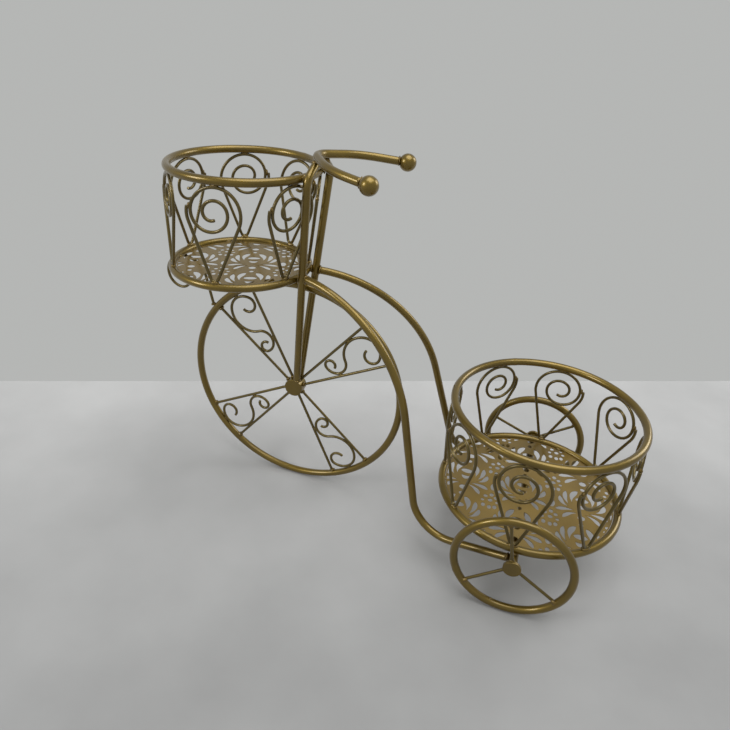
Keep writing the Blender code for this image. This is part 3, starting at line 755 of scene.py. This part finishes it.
# %% [markdown]
# ## The floors
# Each floor is a round of sheet with a traditional pattern of palm leaves cut through it.
# A picture of holes would lie flat, so the holes are real. One motif is worked out as
# outlines and repeated on a lattice, and Blender fills the sheet between them. A motif
# that runs over the edge is cut off by it, as the maker's snips cut the real sheet. The
# motif's sizes are in millimetres: a leaf has a root, an elbow, a tip and a width, and an
# oval has a middle, a width and a height.

# %% Shapes of the cut-outs
LEAVES = (
    ((10.0, 8.8), (13.2, 20.0), (5.0, 29.4), 6.2),
    ((12.8, 4.8), (19.6, 12.5), (17.2, 25.4), 4.8),
    ((12.4, 1.4), (22.4, 3.2), (22.8, 15.6), 5.0),
    ((6.4, -2.8), (18.0, -1.8), (26.4, -7.0), 5.4),
    ((3.0, -5.8), (14.4, -7.4), (18.6, -17.6), 4.8),
)
OVALS = (
    ((0.0, 15.6), 13.6, 7.2), ((0.0, -12.2), 7.6, 7.2), ((0.0, 33.4), 4.6, 5.0),
    ((31.6, 0.0), 6.2, 11.6), ((31.5, -13.2), 4.4, 5.4), ((31.2, -21.8), 5.0, 5.0),
    ((31.6, -32.4), 4.4, 6.0),
)
SIDE_OVALS = (((25.6, -16.8), 4.4, 4.6), ((23.4, -23.6), 3.8, 3.8), ((25.0, -31.0), 4.2, 6.0))
MOON = ((0.0, 8.0), 9.6, 6.4)
MOON_DENT = 0.12
LATTICE = (62.0 * MM, 55.7 * MM)


def leaf(root, elbow, tip, width):
    """A comma of a leaf. Its middle line is (1-s)^2 root + 2 s (1-s) elbow + s^2 tip, and
    its half width is half the width times sin(pi s^1.8)^0.7, widest near the tip."""
    s = np.linspace(0.0, 1.0, 13)[:, None]
    root, elbow, tip = (np.array(spot) for spot in (root, elbow, tip))
    line = (1.0 - s) ** 2 * root + 2.0 * s * (1.0 - s) * elbow + s**2 * tip
    way = np.gradient(line, axis=0)
    way = way / np.linalg.norm(way, axis=1, keepdims=True)
    half = 0.5 * width * np.sin(math.pi * s**1.8).clip(0.0) ** 0.7
    half = half * np.stack([-way[:, 1], way[:, 0]], 1)
    return np.concatenate([line + half, (line - half)[-2:0:-1]]) * MM


def oval(centre, width, height, sides=14):
    """An oval hole: half the width times cos t, half the height times sin t."""
    t = np.linspace(0.0, math.tau, sides, endpoint=False)
    return (np.array(centre) + 0.5 * np.stack([width * np.cos(t), height * np.sin(t)], 1)) * MM


def crescent(centre, width, height):
    """A moon, horns up: a half circle below, and a flatter one in it with the same ends,
    MOON_DENT times as deep."""
    t = np.linspace(0.0, math.pi, 11)
    outer = np.stack([0.5 * width * np.cos(t), -height * np.sin(t)], 1)
    inner = np.stack([0.5 * width * np.cos(t), -MOON_DENT * height * np.sin(t)], 1)[-2:0:-1]
    return (np.concatenate([outer, inner]) + centre) * MM


def motif():
    """Five leaves on each side, an eye and a moon in the heart, a round hole at the foot,
    and the drops that fill the corner between four motifs. The corner lies to the right,
    so the mirrored drops move over by one step of the lattice."""
    holes = [oval(*facts) for facts in OVALS] + [crescent(*MOON)]
    for side in SIDES.values():
        mirror = np.array([side, 1.0])
        over = (LATTICE[0] if side < 0.0 else 0.0, 0.0)
        holes += [leaf(*facts) * mirror for facts in LEAVES]
        holes += [oval(*facts) * mirror + over for facts in SIDE_OVALS]
    return holes


MOTIF = motif()
print("holes in one motif:", len(MOTIF))

# %% Lay the motif out and trim it
LATTICE_REACH = (3, 4)
LEAST_HOLE = 2.5e-6


def area(outline):
    """Half the sum of the cross products of neighbouring points."""
    x, y = outline.T
    return 0.5 * abs(np.dot(x, np.roll(y, -1)) - np.dot(y, np.roll(x, -1)))


def trimmed(hole, reach):
    """The hole as it is, or cut off by the circle: the run of points that lie inside, and
    the two spots where the outline crosses, read off the distances either side. A hole
    that crosses more than twice is left out."""
    far = np.linalg.norm(hole, axis=1)
    within = far < reach
    if within.all():
        return hole
    enters = np.flatnonzero(within & ~np.roll(within, 1))
    if len(enters) != 1:
        return None
    hole, far, count = np.roll(hole, -enters[0], 0), np.roll(far, -enters[0]), int(within.sum())
    ends = []
    for near, beyond in ((count - 1, count), (0, -1)):
        share = (reach - far[near]) / (far[beyond] - far[near])
        ends.append(hole[near] + share * (hole[beyond] - hole[near]))
    return np.concatenate([hole[:count], ends])


def cut_outs(reach, first, turn_deg):
    """Every hole of the turned lattice that still has a worthwhile area once trimmed."""
    c, s = level_way(turn_deg)[:2]
    turned = np.array([[c, s], [-s, c]])
    columns, rows = (range(-most, most + 1) for most in LATTICE_REACH)
    shifts = [np.array((i, j)) * LATTICE @ turned + first for i in columns for j in rows]
    holes = [trimmed(outline @ turned + shift, reach) for shift in shifts for outline in MOTIF]
    return [hole for hole in holes if hole is not None and area(hole) > LEAST_HOLE]


# %% [markdown]
# ## Cutting the sheet
# A flat curve with many outlines is Blender's own way to fill a sheet round its holes. It
# is given the sheet's thickness and made a mesh. Its doubled points are merged, so that
# the faces share their edges, and the edges of the sheet stay sharp. Six tacks of weld
# hold each floor in its ring.

# %% Cut the floors
SHEET_T = 0.5 * MM
FLOOR_RIM = 1.3 * MM
EDGE_SIDES = 144
MERGE = 0.01 * MM
SHARP_DEG = 32.0
FRONT_MOTIF_AT, FRONT_MOTIF_DEG = (-50.4 * MM, 1.4 * MM), 24.0
REAR_MOTIF_AT, REAR_MOTIF_DEG = (-5.0 * MM, 42.6 * MM), 0.0
TACKS_DEG = range(12, 372, 60)
FLOOR_RUST, RING_RUST = 0.9, 0.5
RUSTY = {}


def filled(name, outlines):
    """A flat curve, SHEET_T thick, that is filled between its outlines."""
    data = bpy.data.curves.new(name, "CURVE")
    data.dimensions, data.fill_mode = "2D", "BOTH"
    data.extrude = SHEET_T / 2.0
    for outline in outlines:
        spline = data.splines.new("POLY")
        spline.points.add(len(outline) - 1)
        flat = np.concatenate([outline, np.tile((0.0, 1.0), (len(outline), 1))], 1)
        spline.points.foreach_set("co", flat.ravel())
        spline.use_cyclic_u = True
    return data


def floor(node, ring_r, first, turn_deg):
    """The sheet's round outline and its holes as one filled curve, made a mesh."""
    radius = ring_r - TUBE_R - GAP
    outlines = [oval((0.0, 0.0), 2.0 * radius / MM, 2.0 * radius / MM, EDGE_SIDES)]
    outlines += cut_outs(radius - FLOOR_RIM, first, turn_deg)
    draft = placed(f"{node}_draft", filled(f"{node}_outline", outlines))
    finished = draft.evaluated_get(bpy.context.evaluated_depsgraph_get())
    mesh = bpy.data.meshes.new_from_object(finished)
    bpy.data.objects.remove(draft)
    made = bmesh.new()
    made.from_mesh(mesh)
    bmesh.ops.remove_doubles(made, verts=made.verts, dist=MERGE)
    bmesh.ops.recalc_face_normals(made, faces=made.faces)
    points = np.array([vert.co for vert in made.verts]) + middle(node)
    faces = [[vert.index for vert in face.verts] for face in made.faces]
    made.free()
    bpy.data.meshes.remove(mesh)
    piece = dress(node, "sheet", points, faces)
    piece.data.set_sharp_from_angle(angle=math.radians(SHARP_DEG))
    RUSTY[piece.name] = (middle(node), radius, FLOOR_RUST)
    print(node, "has", len(faces), "faces")


wheel_off = (WHEEL_X - FRONT_LOW[0][0], 0.0)
floor("front_basket_floor", FRONT_LOW[1], np.add(FRONT_MOTIF_AT, wheel_off), FRONT_MOTIF_DEG)
floor("rear_basket_floor", REAR_LOW[1], REAR_MOTIF_AT, REAR_MOTIF_DEG)
for name, (centre, radius) in {"front": FRONT_LOW, "rear": REAR_LOW}.items():
    RUSTY[f"{name}_basket_bottom_ring_skin"] = (centre, radius, RING_RUST)
    for degrees in TACKS_DEG:
        way = level_way(degrees)
        weld(centre + (radius - TUBE_R) * way, np.cross(way, UP), UP, "floor tack")

# %% [markdown]
# ## The welds
# A weld is a frozen puddle: a low lump, longer along the joint than across, with a few
# ripples where the metal set in steps. An oval ball with waves on it says that well. All
# the lumps that ride on one body are worked out at once and make one mesh.

# %% Grow the lumps
LUMP_ROWS, LUMP_COLUMNS = 8, 14
WAVES = (
    (0.07, (6.0, 0.0, 0.0), 1.0),
    (0.08, (0.0, 5.0, 0.0), 1.7),
    (0.05, (9.0, 0.0, 4.0), 0.6),
)
LUMP_SHIFT = 2.4


def lumps(body, name):
    """Lump point = middle + size * direction * (1 + waves), where the direction is that
    of a ball's point. Each wave is its height times the sine of its pace along the ball's
    three axes, moved on a little from one lump to the next."""
    mine = [note[1:] for note in WELDS if note[0] == body]
    middles, axes, sizes = (np.array(facts) for facts in zip(*mine))
    p = np.linspace(0.0, math.pi, LUMP_ROWS + 2)[1:-1, None]
    t = np.linspace(0.0, math.tau, LUMP_COLUMNS, endpoint=False)[None, :]
    ball = np.stack([np.sin(p) * np.cos(t), np.sin(p) * np.sin(t), np.cos(p) + 0.0 * t], -1)
    ball = np.concatenate([ball.reshape(-1, 3), [UP], [(0.0, 0.0, -1.0)]])
    shift = LUMP_SHIFT * np.arange(len(mine))[:, None]
    waves = [height * np.sin(ball @ pace + share * shift) for height, pace, share in WAVES]
    local = ball[None] * sizes[:, None] * (1.0 + sum(waves))[..., None]
    points = (middles[:, None] + np.einsum("lpk,lkx->lpx", local, axes)).reshape(-1, 3)
    _, one = close_grid(np.zeros((LUMP_ROWS, LUMP_COLUMNS, 3)))
    sound = outward(ball, one)
    faces = [[v + k * len(ball) for v in face] for k in range(len(mine)) for face in sound]
    mesh_from(name, points, faces, body, "weld")
    print(name, "holds", len(mine), "lumps")


lumps("stand", "stand_welds")
for word in SIDES:
    lumps(f"rear_wheel_{word}", f"{word}_wheel_welds")

# %% [markdown]
# ## Heat
# The torch leaves a brown, slightly rusty bloom round each weld, and the paint over it is
# duller. How near each point of a piece is to its nearest weld is stored with the point
# as a number from 0 to 1, which the paint then reads. The two floors, and the rings that
# hold them, are rusty along their far edge too, where water has stood, so the same number
# rises there.

# %% Store the heat
HEAT_REACH = 5.5 * MM
RUST_FROM = 0.45
RUST_LEAN = 0.4


def store_heat(piece):
    """heat = exp(-(distance to the nearest weld / reach)^2), for all points at once. On a
    floor and its ring it is at least what the rust gives: it grows outwards and towards
    the far side."""
    mesh = piece.data
    co = np.empty(len(mesh.vertices) * 3)
    mesh.vertices.foreach_get("co", co)
    co = co.reshape(-1, 3)
    nearest = np.full(len(co), math.inf)
    for _, spot, _, _ in WELDS:
        nearest = np.minimum(nearest, ((co - spot) ** 2).sum(1))
    near = np.exp(-nearest / HEAT_REACH**2)
    if piece.name in RUSTY:
        centre, radius, most = RUSTY[piece.name]
        out = np.linalg.norm((co - centre)[:, :2], axis=1) / radius
        out = (out - RUST_FROM) / (1.0 - RUST_FROM)
        far = RUST_LEAN + (co - centre)[:, 1] / radius
        near = np.maximum(near, most * out.clip(0.0, 1.0) * far.clip(0.0, 1.0))
    heat = mesh.attributes.new("heat", "FLOAT", "POINT")
    heat.data.foreach_set("value", near)


for piece, _ in PIECES:
    store_heat(piece)
print("welds:", len(WELDS))

# %% [markdown]
# ## The paint
# Everything is sprayed with one satin gold; the wire's copy of it is mixed darker, as
# painted shade. It is a metal flake paint under a thin clear one, so it reflects like dull
# metal with a paler shine on top. Three things keep it from looking like plastic: the tone
# drifts over a hand's breadth, a fine grain breaks the highlight, and the heat of the welds
# turns it brown. A noise is given by its scale, in waves per metre, and its detail.

# %% Helpers for paint
NOISES = {
    "drift": (26.0, 2.0),
    "blotch": (190.0, 3.0),
    "grain": (1500.0, 2.0),
    "dimple": (420.0, 1.0),
    "cloud": (5.5, 8.0),
}


def feed(tree, made, inputs):
    """Each named input is fed by another node's output, or holds a number or a colour."""
    for socket, value in inputs.items():
        if isinstance(value, bpy.types.NodeSocket):
            tree.links.new(value, made.inputs[socket])
        else:
            made.inputs[socket].default_value = value


def node(tree, kind, inputs, **settings):
    """A new node with its settings and inputs."""
    made = tree.nodes.new(f"ShaderNode{kind}")
    for name, value in settings.items():
        setattr(made, name, value)
    feed(tree, made, inputs)
    return made


def paint(name):
    """A new material: its node tree, its shader and the piece's own coordinates."""
    made = bpy.data.materials.new(name)
    made.use_nodes = True
    tree = made.node_tree
    place = node(tree, "TexCoord", {}).outputs["Object"]
    return made, tree, tree.nodes["Principled BSDF"], place


def noise(tree, place, kind):
    """One of the noises, laid on the piece's own coordinates."""
    scale, detail = NOISES[kind]
    inputs = {"Vector": place, "Scale": scale, "Detail": detail}
    return node(tree, "TexNoise", inputs).outputs["Fac"]


def shades(tree, value, colour, stops):
    """A value turned into a shade of the colour, which runs evenly between two stops. A
    stop is a value and the factor that the colour is multiplied by there."""
    made = node(tree, "ValToRGB", {"Fac": value})
    for element, (position, factor) in zip(made.color_ramp.elements, stops):
        element.position, element.color = position, (*[factor * c for c in colour], 1.0)
    return made.outputs["Color"]


def sums(tree, kind, first, second):
    """One step of arithmetic on two values."""
    return node(tree, "Math", {0: first, 1: second}, operation=kind).outputs["Value"]


def even_range(tree, value, first, last, low=0.0, high=1.0):
    """A value turned into a number that runs evenly from first at low to last at high."""
    ends = {"From Min": low, "From Max": high, "To Min": first, "To Max": last}
    return node(tree, "MapRange", {"Value": value, **ends}).outputs["Result"]


# %% Mix the paints
PAINTS = {
    "tube": {"colour": (0.182, 0.119, 0.014), "rough": 0.36},
    # The wire's colour is a darker copy of the tube's gold: painted shade, for thin wire that
    # shows less highlight.
    "wire": {"colour": (0.132, 0.093, 0.018), "rough": 0.37},
    "sheet": {"colour": (0.252, 0.168, 0.042), "rough": 0.48},
    "weld": {"colour": (0.175, 0.112, 0.018), "rough": 0.40},
}
METAL = 0.88
COAT, COAT_ROUGH = 0.75, 0.16
DRIFT = ((0.32, 0.84), (0.68, 1.14))
RUST, RUST_GAIN = (0.240, 0.090, 0.028), 1.7
GRAIN_LESS, GRAIN_MORE, HEAT_DULLS = 0.07, 0.09, 0.18
BUMP, BUMP_DEPTH = 0.12, 0.12 * MM


def gold_paint(name, colour, rough):
    """Colour: the gold times a slow drift, mixed towards rust by heat times a blotch.
    Roughness: its own value, a little less or more with the grain, plus a share of the
    heat."""
    made, tree, shader, place = paint(f"satin_gold_{name}")
    kinds = ("drift", "blotch", "grain", "dimple")
    drift, blotch, grain, dimple = (noise(tree, place, kind) for kind in kinds)
    heat = node(tree, "Attribute", {}, attribute_name="heat").outputs["Fac"]
    burnt = sums(tree, "MULTIPLY", heat, sums(tree, "MULTIPLY", blotch, RUST_GAIN))
    colours = {6: shades(tree, drift, colour, DRIFT), 7: (*RUST, 1.0)}
    mix = node(tree, "Mix", {"Factor": burnt, **colours}, data_type="RGBA")
    spread = even_range(tree, grain, rough - GRAIN_LESS, rough + GRAIN_MORE)
    dull = sums(tree, "ADD", spread, sums(tree, "MULTIPLY", heat, HEAT_DULLS))
    height = sums(tree, "ADD", grain, dimple)
    bump = node(tree, "Bump", {"Strength": BUMP, "Distance": BUMP_DEPTH, "Height": height})
    feed(tree, shader, {
        "Base Color": mix.outputs[2], "Roughness": dull, "Normal": bump.outputs["Normal"],
        "Metallic": METAL, "Coat Weight": COAT, "Coat Roughness": COAT_ROUGH,
    })
    return made


MATERIALS = {name: gold_paint(name, **facts) for name, facts in PAINTS.items()}
for piece, stock in PIECES:
    piece.data.materials.append(MATERIALS[stock])
print("painted pieces:", len(PIECES))

# %% [markdown]
# ## The camera
# The camera's place was worked out from the photograph: circles such as the rims and
# rings turn into ellipses, and only one place and turn of a camera gives them all.

# %% Place the camera
LENS_MM, SENSOR_MM = 29.29, 36.0
CAMERA_AT = np.array([242.6 * MM + WHEEL_X, -529.4 * MM, 501.25 * MM])
YAW, PITCH, ROLL = -0.295, 0.531, -0.071
NEAREST = 0.01


def camera_axes(yaw, pitch, roll):
    """Right, up and back of a camera that looks along +Y, then yaws, pitches down and
    rolls: the usual products of sines and cosines."""
    level = math.cos(pitch)
    ahead = np.array([math.sin(yaw) * level, math.cos(yaw) * level, -math.sin(pitch)])
    right = np.array([math.cos(yaw), -math.sin(yaw), 0.0])
    down = np.cross(ahead, right)
    c, s = math.cos(roll), math.sin(roll)
    return c * right + s * down, s * right - c * down, -ahead


camera_data = bpy.data.cameras.new("camera")
camera_data.lens, camera_data.sensor_width = LENS_MM, SENSOR_MM
camera_data.clip_start = NEAREST
camera = placed("camera", camera_data)
pose = np.eye(4)
pose[:3, :3] = np.stack(camera_axes(YAW, PITCH, ROLL), 1)
pose[:3, 3] = CAMERA_AT
camera.matrix_world = Matrix(pose.tolist())
bpy.context.scene.camera = camera
print("the camera stands", round(CAMERA_AT[2] / MM, 1), "mm up")

# %% [markdown]
# ## Floor and light
# The stand is shown on a plain pale floor with an even pale room beyond it, under a wide
# soft lamp above, with a smaller one in front on the left and one behind on the right.
# The floor's colour is painted paler towards its far edge, as a painted pool of light.
# The floor ends along a line that lies level in the picture. Nothing stands there, so
# the stand can be looked at from every side.

# %% Find where the floor ends
PICTURE = 730.0
CREASE = 381.0


def on_floor(column, row):
    """The camera's ray through a point of the picture, followed down to the floor."""
    right, up, back = camera_axes(YAW, PITCH, ROLL)
    focal = LENS_MM / SENSOR_MM * PICTURE
    ray = (column - PICTURE / 2.0) * right - (row - PICTURE / 2.0) * up - focal * back
    return CAMERA_AT - ray * CAMERA_AT[2] / ray[2]


crease = np.array([on_floor(0.0, CREASE), on_floor(PICTURE, CREASE)])
run = unit(crease[1] - crease[0])
outwards = unit(np.cross(run, UP))
print("the floor ends at", [round(v, 3) for v in crease.mean(0)])

# %% Lay the floor
WIDE, DEEP = 4.0, 3.5
FLOOR_COLOUR = (0.341,) * 3
FLOOR_ROUGH, FLOOR_SHINE = 0.85, 0.2
CLOUDS = ((0.3, 0.9), (0.7, 1.1))
# Painted light: how much paler the floor is painted at its far edge, and over what distance it
# fades.
CREASE_PAINTED_LIGHT, FADE = 1.50, 0.5
FAR_FROM, FAR_TO, FAR_PALER = 0.9, 3.2, 2.5


def floor_paint(name):
    """A pale tone with faint clouds, times a painted light factor where the floor ends and one
    from FADE before it on, a painted pool of light along the floor's far edge. Where the lamps'
    light runs out, far from the stand, it grows paler again, so the floor keeps its tone."""
    made, tree, shader, place = paint(name)
    clouds = shades(tree, noise(tree, place, "cloud"), FLOOR_COLOUR, CLOUDS)
    reach = node(tree, "VectorMath", {0: place, 1: outwards}, operation="DOT_PRODUCT")
    near = float(np.dot(crease[0], outwards))
    # Painted light: the floor's colour is brighter towards its far edge, fading out over FADE.
    painted_light_at_edge = even_range(tree, reach.outputs["Value"], CREASE_PAINTED_LIGHT, 1.0, near, near + FADE)
    away = node(tree, "VectorMath", {0: place}, operation="LENGTH")
    lift = even_range(tree, away.outputs["Value"], 1.0, FAR_PALER, FAR_FROM, FAR_TO)
    factor = sums(tree, "MULTIPLY", painted_light_at_edge, lift)
    tone = node(tree, "VectorMath", {0: clouds, "Scale": factor}, operation="SCALE")
    looks = {"Roughness": FLOOR_ROUGH, "Specular IOR Level": FLOOR_SHINE}
    feed(tree, shader, {"Base Color": tone.outputs["Vector"], **looks})
    return made


edge = crease.mean(0) * (1.0, 1.0, 0.0)
ends = [edge - WIDE * run, edge + WIDE * run]
corners = [ends[0] + DEEP * outwards, ends[1] + DEEP * outwards, ends[1], ends[0]]
mesh = bpy.data.meshes.new("pale_floor")
mesh.from_pydata([tuple(corner) for corner in corners], [], [(0, 1, 2, 3)])
mesh.materials.append(floor_paint("pale_floor"))
placed("pale_floor", mesh)
print("the floor is", 2.0 * WIDE, "m wide and", DEEP, "m deep")

# %% Hang the lamps and light the room
LAMPS = {
    "ceiling_softbox": ((0.14, -0.05, 0.99), 1.9, 1.6, 23.0),
    "front_window": ((-0.66, -0.59, 0.46), 2.0, 0.6, 10.0),
    "back_window": ((0.64, 0.61, 0.47), 2.0, 0.8, 8.0),
}
AIM = Vector((0.0, 0.0, 0.15))
ROOM_COLOUR, ROOM_STRENGTH = (0.965, 0.98, 0.96), 0.48


def lamp(name, way, far, size, power):
    """A square soft lamp a distance away in a direction, turned towards the stand."""
    data = bpy.data.lights.new(name, "AREA")
    data.size, data.energy = size, power
    made = placed(name, data)
    made.location = AIM + far * Vector(way).normalized()
    made.rotation_euler = (AIM - made.location).to_track_quat("-Z", "Y").to_euler()


for name, lamp_facts in LAMPS.items():
    lamp(name, *lamp_facts)
world = bpy.data.worlds.new("pale_room")
world.use_nodes = True
tree = world.node_tree
light = {"Color": (*ROOM_COLOUR, 1.0), "Strength": ROOM_STRENGTH}
feed(tree, tree.nodes["Background"], light)
bpy.context.scene.world = world
bpy.context.scene.view_settings.view_transform = "Standard"
print("lamps hung:", len(LAMPS))
